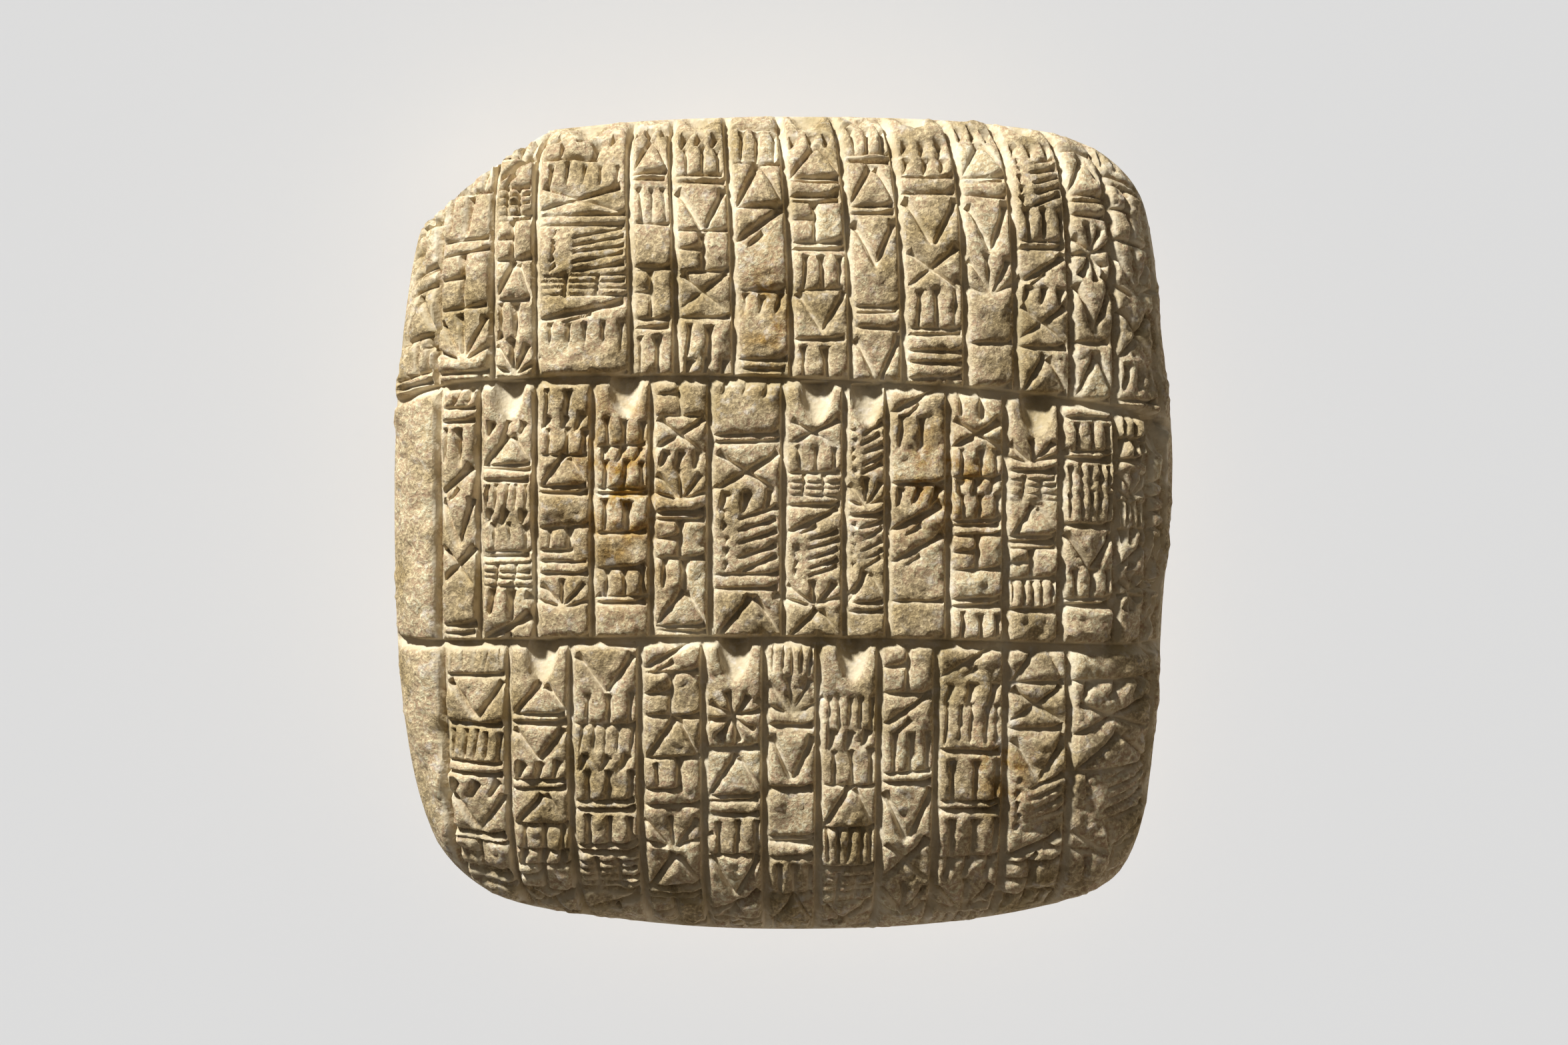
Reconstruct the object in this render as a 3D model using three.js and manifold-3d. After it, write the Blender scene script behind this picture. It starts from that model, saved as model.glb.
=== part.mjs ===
// A square clay tablet of the third millennium BC: a thick cushion of clay, ruled into three registers of
// narrow upright cases, each filled with rows of wedge strokes pressed with a reed stylus. One corner is
// broken off. Millimetres, +Z up; it lies on its back, with the origin under the middle of the back.
import * as THREE from "three";
import { mergeVertices } from "three/addons/utils/BufferGeometryUtils.js";
import Module from "manifold-3d";

const wasm = await Module();
wasm.setup();

// ---- The cushion ----
const BULGE = 13.6; // rise of the face, and drop of the back, from the widest contour
const FLATNESS = 3.4; // exponent across the face: higher is flatter in the middle
const ROUNDNESS = 2.2; // exponent of the rolled edge
const REST_SHARE = 0.36; // the inner share of the back that lies flat
const MEAN_RADIUS = 50;
const GRID = 14; // cells across the face
const CROWDING = 1.25; // above 1 crowds the cells towards the rolled edge
const EDGE_SHARE = 0.985; // where the face's grid ends and the narrow side band starts

// The widest contour seen from above, anticlockwise: bowed sides and round corners.
const CONTOUR = [
  [47.9, 7.5], [46.5, 23.5], [45.2, 35.5], [43.6, 40.9], [40.0, 44.9], [34.4, 47.6], [22.0, 49.4],
  [-2.0, 50.0], [-22.0, 49.1], [-35.5, 46.9], [-41.7, 42.9], [-44.9, 35.5], [-47.4, 18.0],
  [-48.0, 0.0], [-47.0, -22.0], [-44.6, -34.6], [-41.6, -41.0], [-35.2, -46.0], [-20.0, -48.9],
  [-4.0, -50.1], [20.0, -49.3], [35.2, -46.4], [40.7, -43.7], [43.6, -38.6], [45.8, -25.0], [46.6, -11.0],
];

// ---- The ruling ----
const REGISTER_LINES = {
  first: { middle: 17.6, slope: -0.033, bow: -0.00103 },
  second: { middle: -13.9, slope: -0.007, bow: -0.00059 },
  back: { middle: 25.0, slope: 0.01, bow: -0.0008 },
};
const RULE = { steep: 0.25, gentle: 1.0, depth: 0.55 };
const REGISTER_RULE = { steep: 0.3, gentle: 1.9, depth: 0.75 };
const TOP_LEAN = -2.0; // how far the upright rules of the top register lean left at the rim
const WELD = 0.001; // corners closer than this are one
const RULE_STEP = 10; // length of a straight piece of a rule
const WRAP = 1.01; // how far over the rolled edge the ruling and strokes run, as a share of the way to the widest contour
const CASE_MARGIN = 0.1; // clear clay between a rule and the strokes of its case
const LAST_RULE = 0.93; // no rule stands further out than this share of the way to the widest contour
const LAST_STROKE = 0.94; // and no wedge

// ---- The stylus ----
const WALL_SLOPE = { steep: 2.4, gentle: 0.9, head: 2.0 };
const SCOOP = { radius: 2.35, depth: 1.35, length: 5.6 };
const LIFT = 0.35; // how far a cutter stands proud of the clay, above the sag of its own straight edges
const SHAKE = 0.22; // how far a stroke's ends stray from their places
const SMALLEST_STROKE = 1.46; // strokes with a narrower head are too fine for this solid

// ---- Damage ----
const BREAK_LINE = [[-44.6, 35.8], [-28.2, 48.5]];
const BREAK_UNDERCUT = 0.12; // the broken face leans in towards the back by this slope
const CHIPS = [
  { at: [-44.2, -44.0, 12.5], radius: 4.0 },
  { at: [43.6, -45.2, 11.0], radius: 2.6 },
  { at: [49.2, 12.6, 15.5], radius: 1.9 },
];

// ---- The writing: each case by where its left rule stands, seen from above, and its signs from the top down ----
const FACE = [
  {
    upper: null, lower: "first", rightEnd: 46.2,
    cases: [
      [-47.6, "blank dots brick lines delta rolls line"],
      [-43.2, "blank rolls pair line brick fan line"],
      [-35.9, "blank rolls slash grid brick delta pair fan"],
      [-30.4, "scoop dots corner comb kite lines plume grid slash comb block"],
      [-18.7, "blank dots delta line rolls block brick line pair"],
      [-13.3, "scoop dots rolls line vee brick kite line pair dots"],
      [-6.2, "blank line rolls delta slash block dots block line"],
      [0.7, "scoop dots delta lines brick line rolls vee line pair"],
      [7.9, "kite rolls line delta line vee block lines vee"],
      [14.3, "scoop dots dots lines vee kite rolls lines lines"],
      [21.9, "blank dots delta lines vee fan block block"],
      [28.1, "scoop dots plume rolls line slash dots kite line delta"],
      [35.0, "blank line delta lines star vee line delta"],
      [40.5, "dots line brick fan kite dots line"],
    ],
  },
  {
    upper: "first", lower: "second", rightEnd: 46.6,
    cases: [
      [-42.6, "dots lines pair slash vee kite block line"],
      [-37.5, "scoop dots delta lines comb dots rolls line grid pair slash"],
      [-30.5, "line pair dots rolls delta line block corner lines fan block"],
      [-23.5, "scoop rolls dots rolls line pair line block rolls line block"],
      [-16.3, "brick kite dots fan line brick pair delta line"],
      [-9.2, "dots block line kite dots plume lines delta"],
      [-0.3, "scoop kite rolls grid line slash plume fan delta"],
      [7.1, "scoop plume fan line plume delta line blank"],
      [12.3, "slash pair block dots slash slash block block"],
      [19.7, "pair kite rolls dots rolls line brick block line rolls"],
      [26.7, "scoop fan line grid delta line brick comb line block"],
      [33.5, "lines rolls line comb comb line vee rolls line block"],
      [40.4, "rolls dots line fan comb dots slash star block"],
      [44.6, "scoop lines lines delta line delta"],
    ],
  },
  {
    upper: "second", lower: null, rightEnd: 45.6,
    cases: [
      [-42.3, "comb line vee line comb lines dots vee line brick lines block"],
      [-34.0, "scoop delta line vee dots lines delta rolls dots brick kite pair"],
      [-26.2, "line vee rolls comb dots rolls line rolls line grid line slash block"],
      [-17.7, "slash brick delta corner line fan delta line brick lines"],
      [-10.0, "scoop star line delta lines rolls vee slash line grid"],
      [-2.6, "comb fan line vee line block lines rolls delta comb"],
      [3.9, "scoop comb dots rolls delta comb line grid kite lines"],
      [11.3, "brick slash rolls line vee kite fan block"],
      [18.2, "slash dots comb line rolls line rolls dots fan comb"],
      [26.7, "delta kite line vee plume slash brick dots block"],
      [34.6, "block dots kite delta plume fan rolls block"],
    ],
  },
];
// The back is plainer: one part-written register above an empty field.
const BACK = [
  {
    upper: null, lower: "back", rightEnd: 6.0,
    cases: [
      [-40.0, "block pair lines rolls block"],
      [-31.6, "blank scoop delta line"],
      [-22.4, "blank slash brick vee"],
      [-13.4, "blank scoop line comb"],
      [-4.2, "blank lines block"],
    ],
  },
];

// ---------------------------------------------------------------- the clay surface

const contour = new THREE.CatmullRomCurve3(
  CONTOUR.map(([x, y]) => new THREE.Vector3(x, y, 0)), true, "centripetal");
const polar = contour.getPoints(720).slice(0, -1)
  .map((p) => ({ angle: Math.atan2(p.y, p.x), radius: Math.hypot(p.x, p.y) }))
  .sort((a, b) => a.angle - b.angle);

// Radius of the widest contour in a direction.
function contourRadius(angle) {
  let low = 0;
  let high = polar.length - 1;
  if (angle <= polar[0].angle || angle >= polar[high].angle) {
    const before = polar[high];
    const after = polar[0];
    const span = after.angle + 2 * Math.PI - before.angle;
    const past = angle >= before.angle ? angle - before.angle : angle + 2 * Math.PI - before.angle;
    return before.radius + (after.radius - before.radius) * past / span;
  }
  while (high - low > 1) {
    const middle = (low + high) >> 1;
    if (polar[middle].angle <= angle) low = middle;
    else high = middle;
  }
  const share = (angle - polar[low].angle) / (polar[high].angle - polar[low].angle);
  return polar[low].radius + (polar[high].radius - polar[low].radius) * share;
}

// Height above the widest contour at a share of the way out to it.
function bulgeAt(share) {
  return BULGE * Math.pow(Math.max(0, 1 - Math.pow(share, FLATNESS)), 1 / ROUNDNESS);
}

// Walking distance over the bulge against the share of the way out, both counted in contour radii.
const ARC_STEPS = 2000;
const arc = [0];
for (let i = 1; i <= ARC_STEPS; i++) {
  const rise = bulgeAt(i / ARC_STEPS) - bulgeAt((i - 1) / ARC_STEPS);
  arc.push(arc[i - 1] + Math.hypot(1 / ARC_STEPS, rise / MEAN_RADIUS));
}
const ARC_TO_EDGE = arc[ARC_STEPS];

function arcOfShare(share) {
  const place = Math.min(share, 1) * ARC_STEPS;
  const step = Math.min(Math.floor(place), ARC_STEPS - 1);
  return arc[step] + (arc[step + 1] - arc[step]) * (place - step);
}

function shareOfArc(walked) {
  let low = 0;
  let high = ARC_STEPS;
  while (high - low > 1) {
    const middle = (low + high) >> 1;
    if (arc[middle] <= walked) low = middle;
    else high = middle;
  }
  return Math.min(1, (low + (walked - arc[low]) / (arc[high] - arc[low])) / ARC_STEPS);
}

const MIDDLE_Z = bulgeAt(REST_SHARE); // the flattened back then lies at z = 0

// The point of the clay at page position (x, y): a page wraps the face, and its distances are walked over it.
function clayPoint(x, y) {
  const angle = Math.atan2(y, x);
  const radius = contourRadius(angle);
  const walked = Math.hypot(x, y) / radius;
  const over = walked > ARC_TO_EDGE;
  const share = shareOfArc(over ? Math.max(0, 2 * ARC_TO_EDGE - walked) : walked);
  const height = MIDDLE_Z + (over ? -bulgeAt(share) : bulgeAt(share));
  return new THREE.Vector3(
    share * radius * Math.cos(angle), share * radius * Math.sin(angle), Math.max(0, height));
}

function clayNormal(x, y) {
  const d = 0.2;
  const alongX = clayPoint(x + d, y).sub(clayPoint(x - d, y));
  const alongY = clayPoint(x, y + d).sub(clayPoint(x, y - d));
  return alongX.cross(alongY).normalize();
}

// Bends a shape modelled on a flat page (x, y, and z above the clay) onto the face.
function bendOntoClay(shape) {
  return moveCorners(shape, (x, y, z) => clayPoint(x, y).addScaledVector(clayNormal(x, y), z).toArray());
}

// Turns the tablet's face side to its back about the upright axis of the page.
function turnOver(shape) {
  return shape.translate(0, 0, -MIDDLE_Z).rotateY(Math.PI).translate(0, 0, MIDDLE_Z);
}

// Gives each corner of a shape a new place.
function moveCorners(geometry, place) {
  const p = geometry.getAttribute("position");
  for (let i = 0; i < p.count; i++) p.setXYZ(i, ...place(p.getX(i), p.getY(i), p.getZ(i)));
  return geometry;
}

// The page position of a point seen from above.
function pageOf(x, y) {
  const radius = contourRadius(Math.atan2(y, x));
  const share = Math.hypot(x, y) / radius;
  const stretch = share > 1e-6 ? arcOfShare(share) / share : 1;
  return [x * stretch, y * stretch];
}

// How far out a page position lies: 1 at the widest contour.
function reach(x, y) {
  return Math.hypot(x, y) / contourRadius(Math.atan2(y, x)) / ARC_TO_EDGE;
}

// ---------------------------------------------------------------- solids

function solid(geometry) {
  const bare = geometry.clone();
  bare.deleteAttribute("normal");
  bare.deleteAttribute("uv");
  const merged = mergeVertices(bare, WELD);
  const triVerts = new Uint32Array(merged.index.array);
  return new wasm.Manifold(new wasm.Mesh({
    numProp: 3,
    vertProperties: new Float32Array(merged.getAttribute("position").array),
    triVerts,
  }));
}

// A box with a gridded face and back, pulled out to the contour and blown up into the cushion.
function cushion() {
  const box = new THREE.BoxGeometry(2, 2, 2, GRID, GRID, 1);
  const p = box.getAttribute("position");
  for (let i = 0; i < p.count; i++) {
    const [a, b, c] = [p.getX(i), p.getY(i), p.getZ(i)];
    const ring = Math.max(Math.abs(a), Math.abs(b));
    const walked = ARC_TO_EDGE * EDGE_SHARE * (1 - Math.pow(1 - ring, CROWDING));
    const point = new THREE.Vector3(0, 0, 2 * MIDDLE_Z);
    if (ring > 0) {
      const angle = cornerAngle(a / ring, b / ring);
      const radius = contourRadius(angle) * walked;
      point.copy(clayPoint(radius * Math.cos(angle), radius * Math.sin(angle)));
    } else point.copy(clayPoint(0, 0));
    if (c < 0) point.z = Math.max(0, 2 * MIDDLE_Z - point.z);
    p.setXYZ(i, point.x, point.y, point.z);
  }
  return solid(box);
}

// Direction of a point on the unit square's edge, with its corners turned to the cushion's corners.
function cornerAngle(a, b) {
  const sideways = Math.abs(a) >= Math.abs(b);
  const middle = sideways ? Math.atan2(0, a) : Math.atan2(b, 0);
  const across = sideways ? b * Math.sign(a) : -a * Math.sign(b);
  return middle + across * Math.PI / 4;
}

// ---------------------------------------------------------------- strokes on the page

const minus = (a, b) => [a[0] - b[0], a[1] - b[1]];
const distance = (a, b) => Math.hypot(a[0] - b[0], a[1] - b[1]);

// A repeatable small wobble from -1 to 1, so that no two signs are quite alike.
let strokesMade = 0;
function wobble() {
  strokesMade += 1;
  const value = Math.sin(strokesMade * 12.9898) * 43758.5453;
  return 2 * (value - Math.floor(value)) - 1;
}

// The triangular mouth of a wedge: steep and gentle head corners, and its tail. The steep wall is up or left.
function wedgeMouth({ head, tail, width }) {
  const length = distance(head, tail);
  const along = minus(tail, head).map((v) => v / length);
  let steepSide = [-along[1], along[0]];
  if (steepSide[1] - steepSide[0] < 0) steepSide = [along[1], -along[0]];
  const corner = (way) => [head[0] + way * steepSide[0] * width / 2, head[1] + way * steepSide[1] * width / 2];
  return [corner(1), corner(-1), tail];
}

// How far the clay bulges between two page positions above the straight line from one to the other.
function sag(from, to) {
  const middle = clayPoint((from[0] + to[0]) / 2, (from[1] + to[1]) / 2);
  return middle.distanceTo(clayPoint(...from).lerp(clayPoint(...to), 0.5));
}

// Three walls of set slopes meet at the deepest point of a wedge.
function wedgeCutter(stroke) {
  const lift = LIFT + sag(stroke.head, stroke.tail);
  const [steep, gentle, tail] = wedgeMouth(stroke);
  const doubleArea = Math.abs((gentle[0] - steep[0]) * (tail[1] - steep[1])
    - (gentle[1] - steep[1]) * (tail[0] - steep[0]));
  const steepWall = distance(steep, tail) / WALL_SLOPE.steep;
  const gentleWall = distance(gentle, tail) / WALL_SLOPE.gentle;
  const headWall = distance(steep, gentle) / WALL_SLOPE.head;
  const depth = doubleArea / (steepWall + gentleWall + headWall);
  const weights = [gentleWall, steepWall, headWall].map((wall) => wall * depth / doubleArea);
  const deepest = [0, 1].map((k) => steep[k] * weights[0] + gentle[k] * weights[1] + tail[k] * weights[2]);
  const grown = [steep, gentle, tail].map((corner) =>
    [0, 1].map((k) => deepest[k] + (corner[k] - deepest[k]) * (1 + lift / depth)));
  const pyramid = new THREE.ConeGeometry(1, 1, 3);
  return moveCorners(pyramid, (x, y, z) => {
    if (y < 0 && Math.hypot(x, z) > 0.5) return [...grown[thirdOfTurn(x, z)], lift];
    if (y < 0) return [...centreOf(grown), lift];
    return [...deepest, -depth];
  });
}

const centreOf = (corners) => [0, 1].map((k) => corners.reduce((sum, corner) => sum + corner[k], 0) / corners.length);
const thirdOfTurn = (x, z) => ((Math.round(Math.atan2(x, z) / (2 * Math.PI / 3)) % 3) + 3) % 3;

// The mark of a round reed pressed at a slant: deep and square at its head, running out below.
function scoopCutter({ head }) {
  const tilt = Math.atan(SCOOP.depth / SCOOP.length);
  const reed = new THREE.CylinderGeometry(SCOOP.radius, SCOOP.radius, SCOOP.length + 2, 14);
  reed.rotateX(-tilt);
  const lift = SCOOP.radius - SCOOP.depth / 2 + 0.12;
  return reed.translate(head[0], head[1] - SCOOP.length / 2 - 0.8, lift);
}

// A ruled groove: a slanted V drawn along a path of page points, with its steep wall on the left of the path's travel.
function grooveCutter(path, { steep, gentle, depth }) {
  const steps = path.length - 1;
  const grow = 1 + LIFT / depth;
  const section = [[-steep * grow, LIFT], [gentle * grow, LIFT], [0, -depth]];
  const prism = new THREE.CylinderGeometry(1, 1, 1, 3, steps);
  return moveCorners(prism, (x, y, z) => {
    const step = Math.round((0.5 - y) * steps);
    const ahead = path[Math.min(step + 1, steps)];
    const behind = path[Math.max(step - 1, 0)];
    const length = distance(ahead, behind);
    const across = [(behind[1] - ahead[1]) / length, -(behind[0] - ahead[0]) / length];
    const onRim = Math.hypot(x, z) > 0.5;
    const [side, height] = onRim ? section[thirdOfTurn(x, z)] : [0, 0];
    return [path[step][0] + across[0] * side, path[step][1] + across[1] * side, height];
  });
}

// ---------------------------------------------------------------- signs
// A sign is a list of strokes in its own cell: x runs 0 to 1 across the case and y 0 to 1 downwards. None is a
// real sign: they are only groups of strokes. Its height is in millimetres before a case is filled.

const wedge = (x0, y0, x1, y1, width) => ({ head: [x0, y0], tail: [x1, y1], width });
// A level stroke has its head at the right, and an upright one at the top.
const across = (y, width = 1.3, head = 1) => wedge(head, y, -0.04, y + 0.02, width);
const down = (x, top, bottom, width) => wedge(x, top, x - 0.03, bottom, width);
const row = (count, make) => Array.from({ length: count }, (_, i) => make((i + 0.5) / count));

// Strokes that point in to one place, as a star or a fan.
function spokes(count, x, y, size, width, first, turn) {
  return Array.from({ length: count }, (_, i) => {
    const angle = first + turn * i / count;
    const way = [Math.cos(angle) * size, -Math.sin(angle) * size];
    return wedge(x + way[0], y + way[1], x + 0.12 * way[0], y + 0.12 * way[1], width);
  });
}

const SIGNS = {
  blank: { height: 2.6, strokes: [] },
  block: { height: 3.6, strokes: [across(0.97)] },
  scoop: { height: 5.0, strokes: [{ scoop: true, head: [0.56, 0.02] }] },
  line: { height: 1.3, strokes: [across(0.5, 1.4)] },
  lines: { height: 2.3, strokes: [across(0.2, 1.1), across(0.75, 1.2)] },
  dots: { height: 1.7, strokes: row(3, (x) => wedge(x + 0.06, 0.1, x - 0.06, 0.95, 1.5)) },
  rolls: { height: 3.3, strokes: [...row(3, (x) => down(0.08 + x, 0.02, 0.95, 1.2)), across(0.98, 1.0)] },
  comb: { height: 2.9, strokes: row(5, (x) => down(0.04 + x, 0.0, 1.0, 0.9)) },
  pair: { height: 3.2, strokes: [down(0.2, 0.0, 0.95, 1.2), down(0.6, 0.05, 1.0, 1.7)] },
  brick: {
    height: 4.2,
    strokes: [across(0.04, 1.0), down(0.5, 0.06, 0.96, 1.4), across(0.48, 1.1, 0.5), across(0.98, 1.2)],
  },
  grid: {
    height: 3.4,
    strokes: [...row(4, (y) => across(y, 0.8)), down(0.32, 0.0, 1.0, 1.0), down(0.68, 0.1, 0.9, 0.9)],
  },
  corner: {
    height: 3.8,
    strokes: [down(0.66, 0.0, 0.72, 1.6), across(0.74, 1.1, 0.7), down(0.26, 0.1, 0.6, 0.9)],
  },
  delta: {
    height: 3.8,
    strokes: [wedge(0.56, 0.0, 0.06, 0.94, 1.4), wedge(0.62, 0.06, 0.98, 0.9, 1.1), across(0.98, 1.2)],
  },
  vee: { height: 4.0, strokes: [wedge(0.06, 0.04, 0.48, 0.98, 1.5), wedge(0.98, 0.02, 0.56, 0.96, 1.4)] },
  kite: { height: 3.6, strokes: [wedge(0.98, 0.04, 0.05, 0.94, 1.5), wedge(0.08, 0.1, 0.92, 0.98, 1.3)] },
  slash: { height: 3.0, strokes: [wedge(0.98, 0.04, 0.02, 0.9, 1.6), wedge(0.6, 0.7, 0.3, 1.0, 1.0)] },
  fan: { height: 3.9, strokes: spokes(5, 0.5, 0.92, 0.85, 1.2, 0.15 * Math.PI, 0.9 * Math.PI) },
  star: { height: 4.6, strokes: spokes(8, 0.5, 0.5, 0.5, 1.2, 0.2, 2 * Math.PI) },
  plume: {
    height: 5.6,
    strokes: [
      ...row(5, (y) => wedge(0.2, y - 0.05, 0.16, y + 0.07, 0.9)),
      ...row(5, (y) => wedge(0.98, y - 0.12, 0.42, y + 0.08, 1.0)),
    ],
  },
};

// The page height of a register line at x.
const lineHeight = (line, x) => line.middle + line.slope * x + line.bow * x * x;

// The page's y where the column at x runs over the rim, upwards or downwards.
function rimHeight(x, way) {
  let y = 20 * way;
  while (reach(x, y) < WRAP) y += 0.2 * way;
  return y;
}

// An upright rule through a register at x: its page points from the top down.
function rulePath(register, x) {
  const top = register.upper === null ? rimHeight(x, 1) : lineHeight(REGISTER_LINES[register.upper], x);
  const bottom = register.lower === null ? rimHeight(x, -1) : lineHeight(REGISTER_LINES[register.lower], x);
  const steps = Math.max(2, Math.round((top - bottom) / RULE_STEP));
  const lean = register.upper === null ? TOP_LEAN * Math.cos(x / 34) : 0;
  return Array.from({ length: steps + 1 }, (_, i) => {
    const share = i / steps;
    return [x + lean * (1 - share) ** 2, top + (bottom - top) * share];
  });
}

// Fills the case between two rules with its signs, from the top down.
function caseStrokes(left, right, words) {
  const signs = words.split(" ").map((word) => SIGNS[word]);
  const total = signs.reduce((sum, sign) => sum + sign.height, 0);
  const strokes = [];
  let done = 0;
  for (const sign of signs) {
    const place = ([x, y]) => {
      const share = (done + y * sign.height) / total;
      const at = (path) => {
        const step = Math.min(Math.max(share, 0), 0.999) * (path.length - 1);
        const i = Math.floor(step);
        return [0, 1].map((k) => path[i][k] + (path[i + 1][k] - path[i][k]) * (step - i));
      };
      const from = at(left);
      const to = at(right);
      const start = from[0] + RULE.gentle * 0.6;
      const width = to[0] - RULE.steep - CASE_MARGIN / 2 - start;
      return [start + x * width, (from[1] + to[1]) / 2];
    };
    for (const stroke of sign.strokes) {
      const shaky = ([x, y]) => [x + SHAKE * wobble(), y + SHAKE * wobble()];
      const head = shaky(place(stroke.head));
      if (stroke.scoop) strokes.push({ scoop: true, head });
      else strokes.push({ head, tail: shaky(place(stroke.tail)), width: stroke.width * (1 + 0.15 * wobble()) });
    }
    done += sign.height;
  }
  return strokes;
}

// The cutters of one side's rules and strokes, still on the flat page.
function cuttersOf(registers) {
  const paths = [];
  const strokes = [];
  for (const register of registers) {
    const rules = [...register.cases.map(([x]) => x), register.rightEnd]
      .map((x) => rulePath(register, pageOf(x, 0)[0]));
    register.cases.forEach(([, words], i) => strokes.push(...caseStrokes(rules[i], rules[i + 1], words)));
    paths.push(...rules.filter((path) => reach(path[0][0], 0) < LAST_RULE));
  }
  const lines = [...new Set(registers.map((register) => register.lower).filter(Boolean))];
  return [
    ...lines.map((line) => grooveCutter(registerPath(REGISTER_LINES[line]), REGISTER_RULE)),
    ...paths.map((path) => grooveCutter(path, RULE)),
    ...strokes.filter((stroke) => stroke.scoop).map(scoopCutter),
    ...strokes.filter((stroke) => stroke.width >= SMALLEST_STROKE
      && Math.max(reach(...stroke.head), reach(...stroke.tail)) < LAST_STROKE).map(wedgeCutter),
  ];
}

// ---------------------------------------------------------------- the tablet

const spread = (count, make) => Array.from({ length: count + 1 }, (_, i) => make(i / count));

function registerPath(line) {
  const edge = MEAN_RADIUS * ARC_TO_EDGE * 0.94;
  return spread(18, (share) => {
    const x = edge - 2 * edge * share;
    return [x, lineHeight(line, x)];
  });
}

// The broken corner: everything outside a leaning plane through the break line.
function brokenCorner() {
  const [from, to] = BREAK_LINE;
  const angle = Math.atan2(to[1] - from[1], to[0] - from[0]);
  const size = 40;
  const block = new THREE.BoxGeometry(size, size, size);
  block.translate(0, size / 2, 0);
  block.rotateX(-Math.atan(BREAK_UNDERCUT));
  block.rotateZ(angle);
  return block.translate((from[0] + to[0]) / 2, (from[1] + to[1]) / 2, MIDDLE_Z);
}

function chip({ at, radius }) {
  return new THREE.IcosahedronGeometry(radius, 1).translate(...at);
}

// Joins a list of solids pair by pair.
function joined(solids) {
  if (solids.length === 1) return solids[0];
  const half = Math.ceil(solids.length / 2);
  return joined(solids.slice(0, half)).add(joined(solids.slice(half)));
}

function tablet() {
  const shapes = [
    ...cuttersOf(FACE).map((shape) => bendOntoClay(shape)),
    ...cuttersOf(BACK).map((shape) => turnOver(bendOntoClay(shape))),
    brokenCorner(),
    ...CHIPS.map(chip),
  ];
  const body = cushion().subtract(joined(shapes.map(solid)));
  return largest(solid(geometryOf(largest(body))));
}

// The main body, without the crumbs left between crossing strokes.
function largest(body) {
  return body.decompose().sort((a, b) => b.volume() - a.volume())[0];
}

function geometryOf(body) {
  const made = body.getMesh();
  const geometry = new THREE.BufferGeometry();
  geometry.setAttribute("position", new THREE.BufferAttribute(new Float32Array(made.vertProperties), 3));
  geometry.setIndex(new THREE.BufferAttribute(new Uint32Array(made.triVerts), 1));
  return geometry;
}

function meshOf(name, body, material) {
  const flat = geometryOf(body).toNonIndexed();
  flat.computeVertexNormals();
  const mesh = new THREE.Mesh(flat, material);
  mesh.name = name;
  return mesh;
}

const clay = new THREE.MeshStandardMaterial({ color: 0xb9a67e, roughness: 0.92, metalness: 0, name: "clay" });
const group = new THREE.Group();
group.add(meshOf("tablet", tablet(), clay));
export default group;
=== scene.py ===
# %% [markdown]
# # A clay tablet with pressed writing
# A scribe of the third millennium BC patted a lump of fine river clay into a square cushion, ruled it
# with a string or a reed's edge, and pressed every sign into it with the corner of a cut reed. The
# whole object is one piece of clay, so it is one mesh here. The frame gives the tablet's box, and the
# shape inside it is worked out again from the same dimensions as its solid.

# %% Load the frame
import math
import bpy
import numpy as np
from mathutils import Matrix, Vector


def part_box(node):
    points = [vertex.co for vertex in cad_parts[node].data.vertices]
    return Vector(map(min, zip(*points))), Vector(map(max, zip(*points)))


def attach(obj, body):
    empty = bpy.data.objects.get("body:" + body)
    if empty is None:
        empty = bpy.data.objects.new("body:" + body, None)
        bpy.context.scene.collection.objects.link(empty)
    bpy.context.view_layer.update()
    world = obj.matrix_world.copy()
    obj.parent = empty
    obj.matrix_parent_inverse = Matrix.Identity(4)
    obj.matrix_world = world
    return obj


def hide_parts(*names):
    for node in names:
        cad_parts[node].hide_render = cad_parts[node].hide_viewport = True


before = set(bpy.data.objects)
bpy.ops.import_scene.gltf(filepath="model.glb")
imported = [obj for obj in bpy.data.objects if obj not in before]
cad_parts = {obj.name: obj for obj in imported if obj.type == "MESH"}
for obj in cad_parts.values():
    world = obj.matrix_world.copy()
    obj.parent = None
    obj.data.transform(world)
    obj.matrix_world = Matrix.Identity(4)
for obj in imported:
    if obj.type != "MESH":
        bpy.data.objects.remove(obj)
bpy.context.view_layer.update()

MM = 0.001
low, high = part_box("tablet")
print("the solid's box in mm:", [round(v / MM, 2) for v in (*low, *high)])

# %% [markdown]
# ## The cushion
# The tablet is fattest in the middle and rolls over all round to its widest contour. A subdivided cube
# or a sculpted ball would give a vague pillow. A formula is better: the contour is one smooth curve
# through a few points, and a superellipse lifts the face over it, flat in the middle and tightly
# rounded at the edge. The back is the same shape upside down, with a flat spot where the clay lay.

# %% The cushion's dimensions
BULGE = 13.6  # mm, rise of the face and drop of the back from the widest contour
FLATNESS = 3.4
ROUNDNESS = 2.2
REST_SHARE = 0.36  # the inner share of the back that lies flat
MEAN_RADIUS = 50.0

CONTOUR = np.array([
    (47.9, 7.5), (46.5, 23.5), (45.2, 35.5), (43.6, 40.9), (40.0, 44.9), (34.4, 47.6), (22.0, 49.4),
    (-2.0, 50.0), (-22.0, 49.1), (-35.5, 46.9), (-41.7, 42.9), (-44.9, 35.5), (-47.4, 18.0),
    (-48.0, 0.0), (-47.0, -22.0), (-44.6, -34.6), (-41.6, -41.0), (-35.2, -46.0), (-20.0, -48.9),
    (-4.0, -50.1), (20.0, -49.3), (35.2, -46.4), (40.7, -43.7), (43.6, -38.6), (45.8, -25.0),
    (46.6, -11.0),
])


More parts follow.
